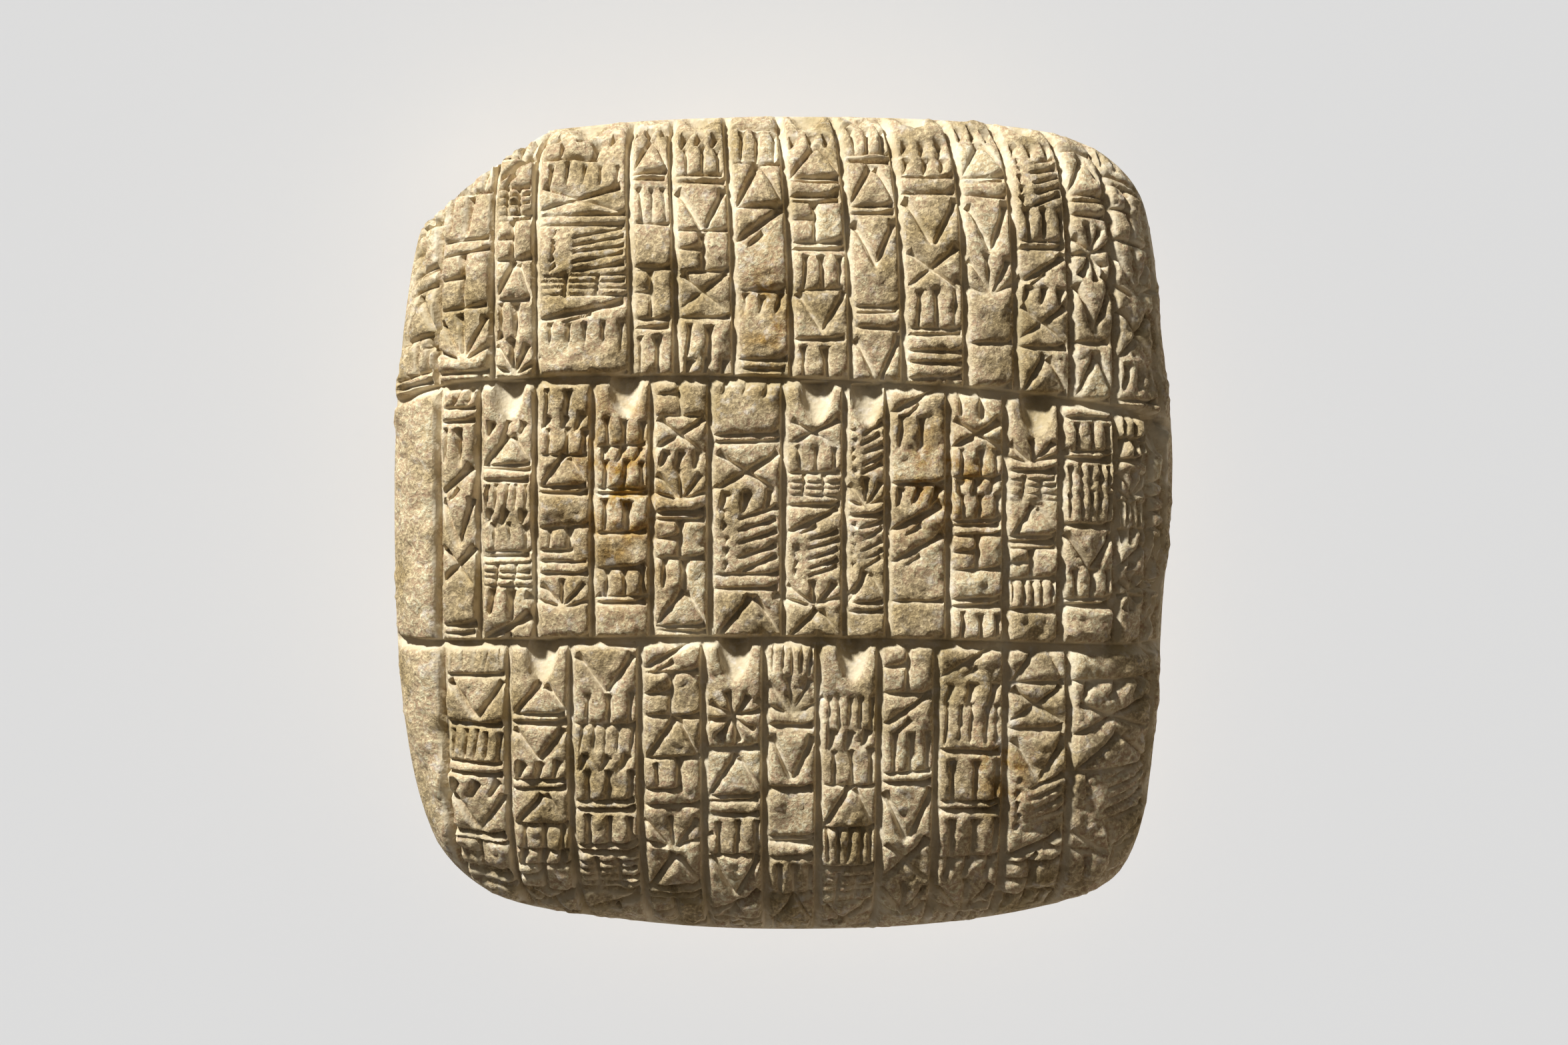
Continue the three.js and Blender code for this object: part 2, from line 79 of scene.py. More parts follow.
def smooth_loop(points, steps=30):
    """A closed centripetal Catmull-Rom curve through the points."""
    loop = []
    for i in range(len(points)):
        p0, p1, p2, p3 = (points[(i + k) % len(points)] for k in (-1, 0, 1, 2))
        d0, d1, d2 = (math.sqrt(math.dist(a, b)) for a, b in ((p0, p1), (p1, p2), (p2, p3)))
        start = ((p1 - p0) / d0 - (p2 - p0) / (d0 + d1) + (p2 - p1) / d1) * d1
        end = ((p2 - p1) / d1 - (p3 - p1) / (d1 + d2) + (p3 - p2) / d2) * d1
        t = np.arange(steps)[:, None] / steps
        loop.append(p1 + start * t + (3 * (p2 - p1) - 2 * start - end) * t ** 2
                    + (2 * (p1 - p2) + start + end) * t ** 3)
    return np.vstack(loop)


loop = smooth_loop(CONTOUR)
loop_angle = np.arctan2(loop[:, 1], loop[:, 0])
loop_order = np.argsort(loop_angle)
loop_angle = loop_angle[loop_order]
loop_radius = np.hypot(*loop.T)[loop_order]


def contour_radius(angle):
    return np.interp(angle, loop_angle, loop_radius, period=2 * math.pi)


def bulge_at(share):
    """Height above the widest contour at a share of the way out to it."""
    return BULGE * np.maximum(0, 1 - np.minimum(share, 1) ** FLATNESS) ** (1 / ROUNDNESS)


ARC_SHARES = np.linspace(0, 1, 2001)
ARC = np.concatenate([[0], np.cumsum(np.hypot(
    np.diff(ARC_SHARES), np.diff(bulge_at(ARC_SHARES)) / MEAN_RADIUS))])
ARC_TO_EDGE = ARC[-1]
MIDDLE_Z = float(bulge_at(REST_SHARE))  # height of the widest contour over the table
print("walking distance from the middle to the rim:", round(MEAN_RADIUS * ARC_TO_EDGE, 1), "mm")

# %% [markdown]
# ## A page wrapped over the face
# Rules and strokes are easiest to lay out on a flat page. The page's distances are walked over the
# clay, so a sign near the rim keeps its size as it rolls over the edge.


# %% From the page to the clay
def reach(x, y):
    """How far out a page position lies: 1 at the widest contour."""
    return np.hypot(x, y) / contour_radius(np.arctan2(y, x)) / ARC_TO_EDGE


def clay_point(x, y):
    angle = np.arctan2(y, x)
    radius = contour_radius(angle)
    walked = np.hypot(x, y) / radius
    over = walked > ARC_TO_EDGE
    share = np.interp(np.where(over, 2 * ARC_TO_EDGE - walked, walked), ARC, ARC_SHARES)
    height = MIDDLE_Z + np.where(over, -1, 1) * bulge_at(share)
    return np.stack([share * radius * np.cos(angle), share * radius * np.sin(angle),
                     np.maximum(0, height)], axis=-1)


def clay_normal(x, y, d=0.2):
    along_x = clay_point(x + d, y) - clay_point(x - d, y)
    along_y = clay_point(x, y + d) - clay_point(x, y - d)
    normal = np.cross(along_x, along_y)
    return normal / np.linalg.norm(normal, axis=-1, keepdims=True)


def page_x(x):
    """The page's x on the middle line for a place seen from above."""
    share = abs(x) / contour_radius(math.atan2(0, x))
    return x * np.interp(share, ARC_SHARES, ARC) / share if share > 0 else 0.0


# %% [markdown]
# ## The ruling and the signs
# Two heavy rules part the face into three registers, and upright rules part those into narrow cases.
# The scribe worked down each case, one group of wedges under another. No real sign is written here:
# a case is a few words, such as "comb lines brick", and each word is a small group of strokes.

# %% The ruling
REGISTER_LINES = {
    "first": (17.6, -0.033, -0.00103),  # height in the middle, slope and bow
    "second": (-13.9, -0.007, -0.00059),
    "back": (25.0, 0.01, -0.0008),
}
FACE = [
    dict(upper=None, lower="first", right_end=46.2, cases=[
        (-47.6, "blank dots brick lines delta rolls line"),
        (-43.2, "blank rolls pair line brick fan line"),
        (-35.9, "blank rolls slash grid brick delta pair fan"),
        (-30.4, "scoop dots corner comb kite lines plume grid slash comb block"),
        (-18.7, "blank dots delta line rolls block brick line pair"),
        (-13.3, "scoop dots rolls line vee brick kite line pair dots"),
        (-6.2, "blank line rolls delta slash block dots block line"),
        (0.7, "scoop dots delta lines brick line rolls vee line pair"),
        (7.9, "kite rolls line delta line vee block lines vee"),
        (14.3, "scoop dots dots lines vee kite rolls lines lines"),
        (21.9, "blank dots delta lines vee fan block block"),
        (28.1, "scoop dots plume rolls line slash dots kite line delta"),
        (35.0, "blank line delta lines star vee line delta"),
        (40.5, "dots line brick fan kite dots line"),
    ]),
    dict(upper="first", lower="second", right_end=46.6, cases=[
        (-42.6, "dots lines pair slash vee kite block line"),
        (-37.5, "scoop dots delta lines comb dots rolls line grid pair slash"),
        (-30.5, "line pair dots rolls delta line block corner lines fan block"),
        (-23.5, "scoop rolls dots rolls line pair line block rolls line block"),
        (-16.3, "brick kite dots fan line brick pair delta line"),
        (-9.2, "dots block line kite dots plume lines delta"),
        (-0.3, "scoop kite rolls grid line slash plume fan delta"),
        (7.1, "scoop plume fan line plume delta line blank"),
        (12.3, "slash pair block dots slash slash block block"),
        (19.7, "pair kite rolls dots rolls line brick block line rolls"),
        (26.7, "scoop fan line grid delta line brick comb line block"),
        (33.5, "lines rolls line comb comb line vee rolls line block"),
        (40.4, "rolls dots line fan comb dots slash star block"),
        (44.6, "scoop lines lines delta line delta"),
    ]),
    dict(upper="second", lower=None, right_end=45.6, cases=[
        (-42.3, "comb line vee line comb lines dots vee line brick lines block"),
        (-34.0, "scoop delta line vee dots lines delta rolls dots brick kite pair"),
        (-26.2, "line vee rolls comb dots rolls line rolls line grid line slash block"),
        (-17.7, "slash brick delta corner line fan delta line brick lines"),
        (-10.0, "scoop star line delta lines rolls vee slash line grid"),
        (-2.6, "comb fan line vee line block lines rolls delta comb"),
        (3.9, "scoop comb dots rolls delta comb line grid kite lines"),
        (11.3, "brick slash rolls line vee kite fan block"),
        (18.2, "slash dots comb line rolls line rolls dots fan comb"),
        (26.7, "delta kite line vee plume slash brick dots block"),
        (34.6, "block dots kite delta plume fan rolls block"),
    ]),
]
BACK = [
    dict(upper=None, lower="back", right_end=6.0, cases=[
        (-40.0, "block pair lines rolls block"),
        (-31.6, "blank scoop delta line"),
        (-22.4, "blank slash brick vee"),
        (-13.4, "blank scoop line comb"),
        (-4.2, "blank lines block"),
    ]),
]


def wedge(x0, y0, x1, y1, width):
    return dict(head=(x0, y0), tail=(x1, y1), width=width)


def across(y, width=1.3, tail=-0.04, head=1.0):
    """A level stroke, its head at the right."""
    return wedge(head, y, tail, y + 0.02, width)


def down(x, top=0.0, bottom=1.0, width=1.3):
    """An upright stroke, its head at the top."""
    return wedge(x, top, x - 0.03, bottom, width)


def row(count, make):
    """Several strokes made side by side, at evenly spaced places from 0 to 1."""
    return [make((i + 0.5) / count) for i in range(count)]


def spokes(count, x, y, size, width, first=0.0, turn=2 * math.pi):
    """Strokes that point in to one place, as a star or a fan."""
    marks = []
    for i in range(count):
        angle = first + turn * i / count
        way = (math.cos(angle) * size, -math.sin(angle) * size)
        marks.append(wedge(x + way[0], y + way[1], x + 0.12 * way[0], y + 0.12 * way[1], width))
    return marks


SIGNS = {
    "blank": (2.6, []),
    "block": (3.6, [across(0.97, 1.3)]),
    "scoop": (5.0, [dict(scoop=True, head=(0.56, 0.02))]),
    "line": (1.3, [across(0.5, 1.4)]),
    "lines": (2.3, [across(0.2, 1.1), across(0.75, 1.2)]),
    "dots": (1.7, row(3, lambda x: wedge(x + 0.06, 0.1, x - 0.06, 0.95, 1.5))),
    "rolls": (3.3, row(3, lambda x: down(0.08 + x, 0.02, 0.95, 1.2)) + [across(0.98, 1.0)]),
    "comb": (2.9, row(5, lambda x: down(0.04 + x, 0.0, 1.0, 0.9))),
    "pair": (3.2, [down(0.2, 0.0, 0.95, 1.2), down(0.6, 0.05, 1.0, 1.7)]),
    "brick": (4.2, [across(0.04, 1.0), down(0.5, 0.06, 0.96, 1.4), across(0.48, 1.1, head=0.5),
                    across(0.98, 1.2)]),
    "grid": (3.4, row(4, lambda y: across(y, 0.8))
             + [down(0.32, 0.0, 1.0, 1.0), down(0.68, 0.1, 0.9, 0.9)]),
    "corner": (3.8, [down(0.66, 0.0, 0.72, 1.6), across(0.74, 1.1, head=0.7),
                     down(0.26, 0.1, 0.6, 0.9)]),
    "delta": (3.8, [wedge(0.56, 0.0, 0.06, 0.94, 1.4), wedge(0.62, 0.06, 0.98, 0.9, 1.1),
                    across(0.98, 1.2)]),
    "vee": (4.0, [wedge(0.06, 0.04, 0.48, 0.98, 1.5), wedge(0.98, 0.02, 0.56, 0.96, 1.4)]),
    "kite": (3.6, [wedge(0.98, 0.04, 0.05, 0.94, 1.5), wedge(0.08, 0.1, 0.92, 0.98, 1.3)]),
    "slash": (3.0, [wedge(0.98, 0.04, 0.02, 0.9, 1.6), wedge(0.6, 0.7, 0.3, 1.0, 1.0)]),
    "fan": (3.9, spokes(5, 0.5, 0.92, 0.85, 1.2, 0.15 * math.pi, 0.9 * math.pi)),
    "star": (4.6, spokes(8, 0.5, 0.5, 0.5, 1.2, 0.2)),
    "plume": (5.6, row(5, lambda y: wedge(0.2, y - 0.05, 0.16, y + 0.07, 0.9))
              + row(5, lambda y: wedge(0.98, y - 0.12, 0.42, y + 0.08, 1.0))),
}
print(sum(len(register["cases"]) for register in FACE), "cases on the face, from", len(SIGNS), "signs")

# %% [markdown]
# Upright rules run from one register line to the next, or over the rim. In the top register they lean
# a little to the left as they climb. A case's signs are stretched to fill it from the top down, and a
# small repeatable wobble keeps two equal signs from looking stamped.

# %% Lay out the rules and strokes
RULE_STEEP, RULE_GENTLE, RULE_DEPTH = 0.22, 1.0, 0.55
CASE_MARGIN = 0.1
WRAP = 1.01
TOP_LEAN = -2.0
LAST_RULE = 0.93
PATH_STEPS = 30
SHAKE = 0.22  # mm that a stroke's ends stray from their places
strokes_made = 0


def wobble():
    global strokes_made
    strokes_made += 1
    value = math.sin(strokes_made * 12.9898) * 43758.5453
    return 2 * (value - math.floor(value)) - 1


def line_height(line, x):
    middle, slope, bow = REGISTER_LINES[line]
    return middle + slope * x + bow * x * x


def rim_height(x, way):
    y = 20.0 * way
    while reach(x, y) < WRAP:
        y += 0.2 * way
    return y


def rule_path(register, x):
    """An upright rule through a register at page x, from the top down."""
    top = rim_height(x, 1) if register["upper"] is None else line_height(register["upper"], x)
    bottom = rim_height(x, -1) if register["lower"] is None else line_height(register["lower"], x)
    share = np.linspace(0, 1, PATH_STEPS + 1)
    lean = TOP_LEAN * math.cos(x / 34) if register["upper"] is None else 0
    return np.stack([x + lean * (1 - share) ** 2, top + (bottom - top) * share], axis=1)


def along(path, share):
    place = min(max(share, 0), 0.999) * (len(path) - 1)
    i = int(place)
    return path[i] + (path[i + 1] - path[i]) * (place - i)


def case_strokes(left, right, words):
    signs = [SIGNS[word] for word in words.split()]
    total = sum(height for height, _ in signs)
    strokes = []
    done = 0.0

    def place(point, height):
        share = (done + point[1] * height) / total
        a, b = along(left, share), along(right, share)
        start = a[0] + RULE_GENTLE * 0.6
        width = b[0] - RULE_STEEP - CASE_MARGIN / 2 - start
        middle = (a[1] + b[1]) / 2
        return np.array([start + point[0] * width + SHAKE * wobble(), middle + SHAKE * wobble()])

    for height, marks in signs:
        for mark in marks:
            head = place(mark["head"], height)
            if "scoop" in mark:
                strokes.append(dict(scoop=True, head=head))
            else:
                strokes.append(dict(head=head, tail=place(mark["tail"], height),
                                    width=mark["width"] * (1 + 0.15 * wobble())))
        done += height
    return strokes


def lay_out(registers):
    rules, strokes = [], []
    for register in registers:
        places = [x for x, _ in register["cases"]] + [register["right_end"]]
        paths = [rule_path(register, page_x(x)) for x in places]
        for i, (_, words) in enumerate(register["cases"]):
            strokes += case_strokes(paths[i], paths[i + 1], words)
        rules += [path for path in paths if reach(path[0][0], 0) < LAST_RULE]
    return rules, strokes


face_rules, face_strokes = lay_out(FACE)
back_rules, back_strokes = lay_out(BACK)
print(len(face_rules), "upright rules and", len(face_strokes), "strokes on the face,",
      len(back_strokes), "on the back")

# %% [markdown]
# ## Pressing the stylus
# A cut reed leaves a wedge with three flat walls: a steep one at the top or left, a broad gentle one
# opposite, and a short one at the head. Cutting hundreds of wedges out of a mesh with booleans is slow
# and leaves razor edges. Pressing them into a depth map is quick, and the edges can then be softened
# and the clay between them swollen, as real clay is when the reed pushes it aside.

# %% A depth map over the page
HALF_PAGE = 62.0  # mm
SAMPLES = 1600
STEP = 2 * HALF_PAGE / (SAMPLES - 1)  # mm between samples
page = np.linspace(-HALF_PAGE, HALF_PAGE, SAMPLES)
WALL_SLOPE = dict(steep=2.4, gentle=0.9, head=2.0)


def window(x0, x1, y0, y1):
    """The part of the page inside a box: its index ranges and sample positions."""
    columns = slice(max(0, int((x0 + HALF_PAGE) / STEP)), min(SAMPLES, int((x1 + HALF_PAGE) / STEP) + 2))
    rows = slice(max(0, int((y0 + HALF_PAGE) / STEP)), min(SAMPLES, int((y1 + HALF_PAGE) / STEP) + 2))
    return rows, columns, *np.meshgrid(page[columns], page[rows])


def steep_side(way):
    """Across a stroke towards its steep wall, which is the upper or left one."""
    side = np.array([-way[1], way[0]])
    return side if side[1] - side[0] > 0 else -side


def press_head(depth, head, tail, width):
    """Three flat walls that meet in a point, under a three-cornered mouth."""
    side = steep_side((tail - head) / math.dist(tail, head)) * width / 2
    steep, gentle = head + side, head - side
    corners = np.array([steep, gentle, tail])
    centre = corners.mean(axis=0)
    rows, columns, x, y = window(*np.sort(corners[:, 0])[[0, 2]], *np.sort(corners[:, 1])[[0, 2]])
    pressed = np.full(x.shape, np.inf)
    for a, b, wall in ((steep, tail, "steep"), (gentle, tail, "gentle"), (steep, gentle, "head")):
        inward = np.array([a[1] - b[1], b[0] - a[0]]) / math.dist(a, b)
        if (centre - a) @ inward < 0:
            inward = -inward
        pressed = np.minimum(pressed, ((x - a[0]) * inward[0] + (y - a[1]) * inward[1]) * WALL_SLOPE[wall])
    depth[rows, columns] = np.maximum(depth[rows, columns], pressed)


def press_groove(depth, a, b, steep, gentle, deep_a, deep_b):
    """A slanted groove from a to b, with its steep wall above it or on its left."""
    margin = gentle + 0.1
    rows, columns, x, y = window(min(a[0], b[0]) - margin, max(a[0], b[0]) + margin,
                                 min(a[1], b[1]) - margin, max(a[1], b[1]) + margin)
    length = math.dist(a, b)
    way = (b - a) / length
    side = steep_side(way)
    run = np.clip((x - a[0]) * way[0] + (y - a[1]) * way[1], 0, length)
    off_x, off_y = x - a[0] - run * way[0], y - a[1] - run * way[1]
    away = np.hypot(off_x, off_y)
    on_steep = off_x * side[0] + off_y * side[1] > 0
    deep = deep_a + (deep_b - deep_a) * run / length
    pressed = deep * (1 - away / np.where(on_steep, steep, gentle))
    depth[rows, columns] = np.maximum(depth[rows, columns], pressed)


HEAD_LENGTH = 1.35  # of a wedge's head, in its widths
TAIL_STEEP, TAIL_GENTLE = 0.15, 0.42  # widths of a tail's two walls, in the widths of its head
TAIL_DEEP, TAIL_SHALLOW = 0.36, 0.16  # depth of a tail at the head and at its end, in widths


def press_wedge(depth, stroke):
    head, tail, width = stroke["head"], stroke["tail"], stroke["width"]
    length = math.dist(head, tail)
    if length < 0.3:
        return
    way = (tail - head) / length
    press_head(depth, head, head + way * min(length, HEAD_LENGTH * width), width)
    press_groove(depth, head + way * 0.3 * width, tail, TAIL_STEEP * width, TAIL_GENTLE * width,
                 TAIL_DEEP * width, TAIL_SHALLOW * width)


SCOOP_RADIUS, SCOOP_DEPTH, SCOOP_LENGTH = 2.35, 1.35, 5.6
SCOOP_WALL = 6.0  # slope at the head
SCOOP_FLATNESS = 0.7  # below 1, a flatter bowl than the reed's own circle


def press_scoop(depth, stroke):
    """The mark of a round reed pressed at a slant: deep and square at its head, running out below."""
    x0, y0 = stroke["head"]
    rows, columns, x, y = window(x0 - SCOOP_RADIUS, x0 + SCOOP_RADIUS, y0 - SCOOP_LENGTH, y0)
    deepest = SCOOP_DEPTH * (1 - (y0 - y) / SCOOP_LENGTH)
    rise = SCOOP_RADIUS - np.sqrt(np.maximum(0, SCOOP_RADIUS ** 2 - (x - x0) ** 2))
    pressed = np.minimum(deepest - SCOOP_FLATNESS * rise, SCOOP_WALL * (y0 - y))
    depth[rows, columns] = np.maximum(depth[rows, columns], pressed)


def press_rule(depth, path, steep, gentle, deepest):
    for a, b in zip(path[:-1], path[1:]):
        press_groove(depth, a, b, steep, gentle, deepest, deepest)


REGISTER_STEEP, REGISTER_GENTLE, REGISTER_DEPTH = 0.25, 1.4, 0.75


def register_path(line):
    x = np.linspace(-1, 1, 121) * MEAN_RADIUS * ARC_TO_EDGE * 0.97
    return np.stack([x, line_height(line, x)], axis=1)


def pressed_page(rules, strokes, lines):
    depth = np.zeros((SAMPLES, SAMPLES))
    for line in lines:
        press_rule(depth, register_path(line), REGISTER_STEEP, REGISTER_GENTLE, REGISTER_DEPTH)
    for path in rules:
        press_rule(depth, path, RULE_STEEP, RULE_GENTLE, RULE_DEPTH)
    for stroke in strokes:
        if "scoop" in stroke:
            press_scoop(depth, stroke)
        else:
            press_wedge(depth, stroke)
    return depth


face_depth = pressed_page(face_rules, face_strokes, ["first", "second"])
back_depth = pressed_page(back_rules, back_strokes, ["back"])
print("deepest stroke:", round(face_depth.max(), 2), "mm")

# %% [markdown]
# ## Soft edges and swollen pads
# A blur of a few hundredths of a millimetre rounds the lip of every stroke. The clay that is left between
# strokes stands up in small pads, so its height falls off towards each stroke. Lumps of three sizes crust
# the clay that no reed touched, and a slow swell keeps the whole face from lying level. A sculpting brush
# would give the same swelling by hand, but a blur treats every stroke alike and takes a second.

# %% Swell the clay
wave = np.fft.fftfreq(SAMPLES)[:, None] ** 2 + np.fft.rfftfreq(SAMPLES)[None, :] ** 2


def blur(field, size):
    """A Gaussian blur of a size in mm."""
    soften = np.exp(-2 * (math.pi * size / STEP) ** 2 * wave)
    return np.fft.irfft2(np.fft.rfft2(field) * soften, s=field.shape)


def grain(seed, size):
    """Seeded random lumps of a size in mm, with a spread of 1."""
    lumps = blur(np.random.default_rng(seed).standard_normal((SAMPLES, SAMPLES)), size)
    return lumps / lumps.std()


CLEARLY_PRESSED = 0.15  # mm deep: from here on the clay is the reed's smooth facet
DEEPENING, LIP = 1.65, 0.04  # strokes are drawn this much deeper, with lips this soft in mm
PAD_EDGE = (0.3, 0.15)  # drop and reach in mm of a pad's tight rounding, down to a stroke
PAD_SHOULDER = (0.6, 0.42)  # and of its broad one
CRUST = [(0.1, 0.3), (0.1, 0.8), (0.2, 1.7)]  # height and size of lumps in mm
CRUST_EDGE = 0.12
SWELL = (0.14, 5.0)
SINK = 0.15  # mm that the whole skin lies in, so fewer lumps pass the smooth cushion


def sculpted(depth, seed):
    """How far the clay stands out from the smooth cushion, in mm."""
    pressed = np.clip(depth / CLEARLY_PRESSED, 0, 1)
    plain = 1 - blur(pressed, CRUST_EDGE)
    lumps = sum(height * grain(seed + i, size) for i, (height, size) in enumerate(CRUST))
    relief = -DEEPENING * blur(depth, LIP) + plain * lumps - SINK
    for drop, spread in (PAD_EDGE, PAD_SHOULDER):
        relief -= drop * blur(pressed, spread)
    height, size = SWELL
    return relief + height * grain(seed + len(CRUST), size)


face_relief = sculpted(face_depth, 11)
back_relief = sculpted(back_depth, 21)

# %% [markdown]
# ## The mesh
# Two fine square grids are pulled out to the round-cornered contour, one for the face and one for the
# back, and welded at the widest contour. Each point then moves in along the clay's normal by the depth
# map. The back's grid is half as fine, so every second point of the face's rim is laid on the line
# between its neighbours and the slits are filled. Decimate then thins the mesh where the clay is plain
# and keeps the edges of the strokes.


# %% Wrap a grid over the clay
def deselect():
    bpy.ops.object.select_all(action="DESELECT")


def sample(field, x, y):
    """The field between its samples at page positions."""
    i = np.clip((y + HALF_PAGE) / STEP, 0, SAMPLES - 1.001)
    j = np.clip((x + HALF_PAGE) / STEP, 0, SAMPLES - 1.001)
    i0, j0 = i.astype(int), j.astype(int)
    u, v = i - i0, j - j0
    return ((field[i0, j0] * (1 - v) + field[i0, j0 + 1] * v) * (1 - u)
            + (field[i0 + 1, j0] * (1 - v) + field[i0 + 1, j0 + 1] * v) * u)


def read_points(thing):
    points = np.empty(len(thing.data.vertices) * 3)
    thing.data.vertices.foreach_get("co", points)
    return points.reshape(-1, 3) / MM


def write_points(thing, points):
    thing.data.vertices.foreach_set("co", (points * MM).ravel())
    thing.data.update()


def corner_angle(a, b):
    """The direction of a point on a square's edge, with its corners turned to the cushion's."""
    sideways = np.abs(a) >= np.abs(b)
    middle = np.where(sideways, np.arctan2(0, a), np.arctan2(b, 0))
    across = np.where(sideways, b * np.sign(a), -a * np.sign(b))
    return middle + across * math.pi / 4


def face_positions(a, b):
    """Page positions of grid points from -1 to 1."""
    ring = np.maximum(np.abs(a), np.abs(b))
    safe = np.maximum(ring, 1e-9)
    angle = corner_angle(a / safe, b / safe)
    radius = contour_radius(angle) * ARC_TO_EDGE * ring
    return radius * np.cos(angle), radius * np.sin(angle)


RIM_FADE = 0.05  # the relief fades out over this share before the weld at the widest contour
FACE_CELLS = 760
BACK_CELLS = FACE_CELLS // 2


def clay_sheet(name, cells, relief, back):
    """One side of the tablet as a fine grid."""
    deselect()
    bpy.ops.mesh.primitive_grid_add(x_subdivisions=cells, y_subdivisions=cells, size=2)
    sheet = bpy.context.object
    sheet.name = name
    count = len(sheet.data.vertices)
    grid = np.empty(count * 3)
    sheet.data.vertices.foreach_get("co", grid)
    a, b = grid[0::3], grid[1::3]
    x, y = face_positions(a, b)
    fade = np.clip((1 - reach(x, y)) / RIM_FADE, 0, 1)
    height = sample(relief, -x if back else x, y) * fade
    points = clay_point(x, y) + clay_normal(x, y) * height[:, None]
    if back:
        points[:, 2] = np.maximum(0, 2 * MIDDLE_Z - points[:, 2])
    sheet.data.vertices.foreach_set("co", (points * MM).ravel())
    return sheet


def level_between(sheet):
    """Moves every second point of the finer rim onto the line between its neighbours."""
    side = FACE_CELLS + 1
    points = read_points(sheet).reshape(side, side, 3)
    for edge in (points[0], points[-1], points[:, 0], points[:, -1]):
        edge[1:-1:2] = (edge[0:-2:2] + edge[2::2]) / 2
    write_points(sheet, points.reshape(-1, 3))


face = clay_sheet("clay_face", FACE_CELLS, face_relief, back=False)
under = clay_sheet("clay_back", BACK_CELLS, back_relief, back=True)
level_between(face)
print("fine points:", len(face.data.vertices) + len(under.data.vertices))

# %% Weld the two sides
deselect()
under.select_set(True)
face.select_set(True)
bpy.context.view_layer.objects.active = face
bpy.ops.object.join()
tablet = bpy.context.object
tablet.name = "pressed_clay_tablet"
bpy.ops.object.mode_set(mode="EDIT")
bpy.ops.mesh.select_all(action="SELECT")
bpy.ops.mesh.remove_doubles(threshold=0.002 * MM)
bpy.ops.mesh.fill_holes(sides=3)
bpy.ops.mesh.normals_make_consistent(inside=False)
bpy.ops.object.mode_set(mode="OBJECT")
print("after the weld:", len(tablet.data.vertices))

# %% [markdown]
# ## Breaks
# The top left corner snapped off in one piece and left a steep, rough face. Clay beyond the break is
# pulled straight back onto that face, which keeps one closed skin and gives the break its sharp edge.
# A chip is a shallow bowl: points inside its ball are pushed out to the ball's surface.

# %% Snap off the corner and chip the edges
BREAK_LINE = ((-44.6, 35.8), (-28.2, 48.5))
BREAK_UNDERCUT = 0.12
BREAK_LUMPS = [(0.35, 3.0, 5), (0.16, 0.9, 6), (0.08, 0.4, 7)]  # height, size and seed
BREAK_SINK = 0.5
CHIPS = [((-44.2, -44.0, 12.5), 4.0), ((43.6, -45.2, 11.0), 2.6), ((49.2, 12.6, 15.5), 1.9)]


WAVES = 14


def rough(points, size, seed):
    """Smooth lumps in space, from a few crossed waves of random direction."""
    rng = np.random.default_rng(seed)
    total = np.zeros(len(points))
    for _ in range(WAVES):
        direction = rng.normal(size=3)
        total += np.sin(points @ direction * (2.2 / size) + rng.uniform(0, 2 * math.pi))
    return total / math.sqrt(WAVES / 2)


points = read_points(tablet)
start, end = (np.array(p) for p in BREAK_LINE)
way = (end - start) / math.dist(start, end)
outward = np.array([-way[1], way[0], -BREAK_UNDERCUT])
outward /= np.linalg.norm(outward)
foot = np.array([*(start + end) / 2, MIDDLE_Z])
beyond = (points - foot) @ outward
broken = beyond > 0
cut = points[broken] - beyond[broken, None] * outward
roughness = sum(height * rough(cut, size, seed) for height, size, seed in BREAK_LUMPS) - BREAK_SINK
points[broken] = cut + outward * np.maximum(roughness, -beyond[broken])[:, None]
for at, radius in CHIPS:
    away = points - np.array(at)
    far = np.linalg.norm(away, axis=1)
    inside = far < radius
    ball = away[inside] / far[inside, None] * radius
    points[inside] = np.array(at) + ball
write_points(tablet, points)
print("points on the break:", int(broken.sum()))

# %% Thin the mesh
TRIANGLES = 190000
SMOOTH_ANGLE = 48  # degrees; sharper edges stay crisp
thin = tablet.modifiers.new("thin", "DECIMATE")
faces_now = len(tablet.data.polygons) * 2
thin.ratio = TRIANGLES / faces_now
bpy.ops.object.modifier_apply(modifier=thin.name)
print("thinned from", faces_now, "to", len(tablet.data.polygons), "faces")
deselect()
tablet.select_set(True)
bpy.ops.object.shade_smooth_by_angle(angle=math.radians(SMOOTH_ANGLE))

# %% [markdown]
# ## Where the clay was touched
# The finish differs between the reed's smooth facets, the crusted skin between them, and a few stains.
# Each point keeps how deeply it was pressed and how rusty it is, so the material can tell them apart.

# %% Mark the pressed clay on the mesh
DEEPEST_MARK = 1.5  # mm
STAINS = [  # middle and half sizes of the rusty patches, in mm on the page
    (-20.0, 4.0, 7.0, 13.0), (20.0, 5.0, 7.5, 8.0), (-2.0, 25.0, 3.0, 7.0), (27.0, -30.0, 4.0, 6.0),
]


def page_of(points):
    """Page positions of points on the clay, and which lie on the face."""
    angle = np.arctan2(points[:, 1], points[:, 0])
    radius = contour_radius(angle)
    share = np.minimum(np.hypot(points[:, 0], points[:, 1]) / radius, 1)
    walked = np.interp(share, ARC_SHARES, ARC)
    on_face = points[:, 2] > MIDDLE_Z
    x = walked * radius * np.cos(angle)
    return x, walked * radius * np.sin(angle), on_face


